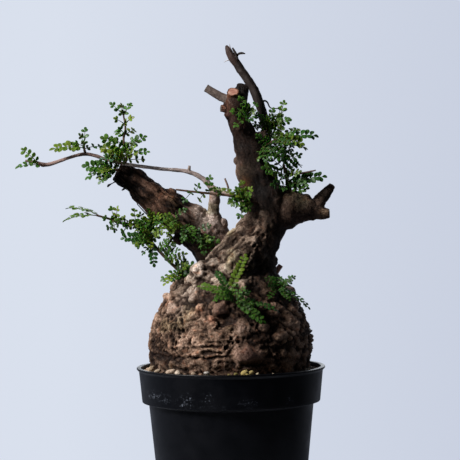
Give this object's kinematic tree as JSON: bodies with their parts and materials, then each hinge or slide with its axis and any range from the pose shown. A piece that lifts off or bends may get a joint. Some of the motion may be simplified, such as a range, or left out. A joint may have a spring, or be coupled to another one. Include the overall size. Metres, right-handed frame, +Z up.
{
  "type": "potted caudex bonsai",
  "caption": "Small bonsai tree with a fat warty caudex, sawn-back branches and tiny pinnate leaves, standing in a round black plastic nursery pot.",
  "frame": {"origin": "middle of the pot's flat underside", "axes": "+Z up; +X towards the short right branch; -X along the long thin twig; -Y towards the trunk's pink saw cut"},
  "size_m": [0.2535, 0.15, 0.383],
  "materials": {
    "pot_plastic": "satin black moulded plastic, lightly scuffed",
    "gravel": "dry tan gravel over soil",
    "bark": "rough warty grey-brown bark",
    "leaf": "thin satin green leaflets"
  },
  "bodies": {
    "root": {"pot": "pot_plastic", "soil": "gravel", "wood": "bark", "twig_tip_spray": "leaf", "twig_bend_spray": "leaf", "left_crown_spray": "leaf", "left_crown_low_spray": "leaf", "long_left_spray": "leaf", "left_shoulder_spray": "leaf", "branch_front_spray": "leaf", "fork_spray": "leaf", "thin_twig_spray": "leaf", "stick_foot_spray": "leaf", "trunk_right_spray": "leaf", "right_branch_spray": "leaf", "caudex_front_spray": "leaf", "caudex_right_spray": "leaf", "trunk_top_spray": "leaf"}
  },
  "joints": []
}
